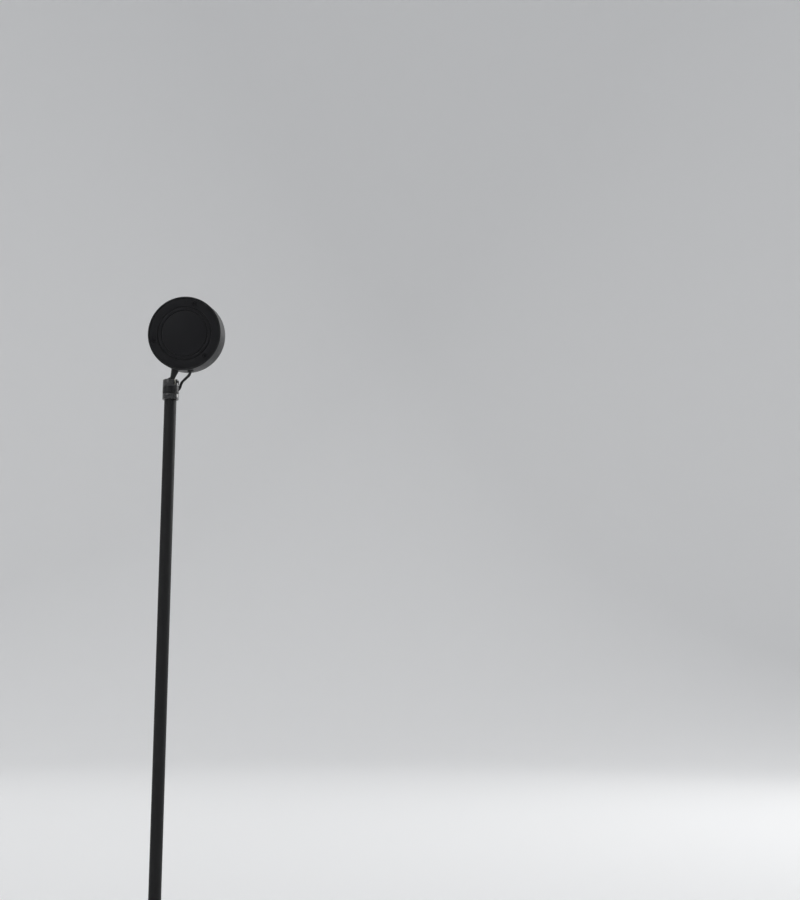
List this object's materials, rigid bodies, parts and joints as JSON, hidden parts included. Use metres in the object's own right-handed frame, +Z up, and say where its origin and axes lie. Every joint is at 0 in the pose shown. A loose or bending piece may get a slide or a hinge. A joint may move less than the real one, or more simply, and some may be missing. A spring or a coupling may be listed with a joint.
{
  "type": "projection lamp",
  "caption": "Tall slim table lamp with a drum projection head and bulging glass lens on a ball knuckle, a round weighted base and a push switch.",
  "frame": {"origin": "centre of the base's underside, on the surface that the lamp stands on", "axes": "+Z up along the pole; the beam leaves towards -Y when the knuckle is at rest, and +Y is the rear"},
  "size_m": [0.15, 0.15, 0.6571],
  "materials": {
    "black_satin": "satin black powder coat",
    "black_matte": "matte black powder coat",
    "black_gloss": "semi-gloss black enamel",
    "black_anodised": "black anodised, turned",
    "black_plastic": "moulded black plastic",
    "black_rubber": "black silicone rubber",
    "lead_jacket": "black round lead jacket",
    "white_nylon": "natural nylon",
    "steel": "zinc-plated steel",
    "nickel": "nickel-plated shell",
    "brass": "turned brass",
    "cast_iron": "cast iron, oiled",
    "board": "circuit board",
    "phosphor": "phosphor over the light source",
    "bright_aluminium": "polished reflector",
    "filter_glass": "colour-graded filter glass",
    "lens_glass": "clear pressed glass"
  },
  "bodies": {
    "base": {"base_cover": "black_satin", "base_weight": "cast_iron", "base_plate": "steel", "base_pad": "black_rubber", "base_screws": "steel", "driver_board": "board", "inlet_socket": "nickel", "switch_body": "black_plastic", "foot_flange": "black_satin", "foot_nipple": "steel", "foot_nut": "steel", "foot_washer": "steel", "pole_insert": "brass", "pole": "black_matte", "pole_ferrule": "black_gloss", "pole_lead": "lead_jacket"},
    "swivel": {"swivel_body": "black_satin", "collet_cap": "black_gloss", "swivel_clip": "steel", "head_lead": "lead_jacket"},
    "liner": {"ball_liner": "white_nylon"},
    "head": {"ball_stud": "black_satin", "stem_washer": "steel", "stem_nut": "steel", "drum_shell": "black_satin", "rear_cover": "black_anodised", "rear_screws": "steel", "led_board": "board", "board_screws": "steel", "led_emitter": "phosphor", "reflector": "bright_aluminium", "filter_holder": "black_anodised", "filter_disc": "filter_glass", "lens": "lens_glass", "lens_gasket": "black_rubber", "bezel_ring": "black_anodised", "head_grommet": "black_rubber", "led_wires": "lead_jacket"},
    "button": {"switch_button": "black_plastic"}
  },
  "joints": [
    {"name": "pan", "type": "hinge", "parent": "base", "child": "swivel", "pos_m": [0, 0, 0.5716], "axis": [0, 0, 1], "range_deg": [-170, 170]},
    {"name": "tilt", "type": "hinge", "parent": "swivel", "child": "liner", "pos_m": [0, 0, 0.5716], "axis": [-1, 0, 0], "range_deg": [-28, 20], "deforming": ["head_lead"]},
    {"name": "lean", "type": "hinge", "parent": "liner", "child": "head", "pos_m": [0, 0, 0.5716], "axis": [0, -0.9976, 0.0698], "range_deg": [-44, 8], "deforming": ["head_lead"]},
    {"name": "button_press", "type": "slide", "parent": "base", "child": "button", "axis": [0, 0, 1], "range_m": [-0.0012, 0], "stiffness_N_per_m": 900, "springref_m": 0.0012}
  ]
}
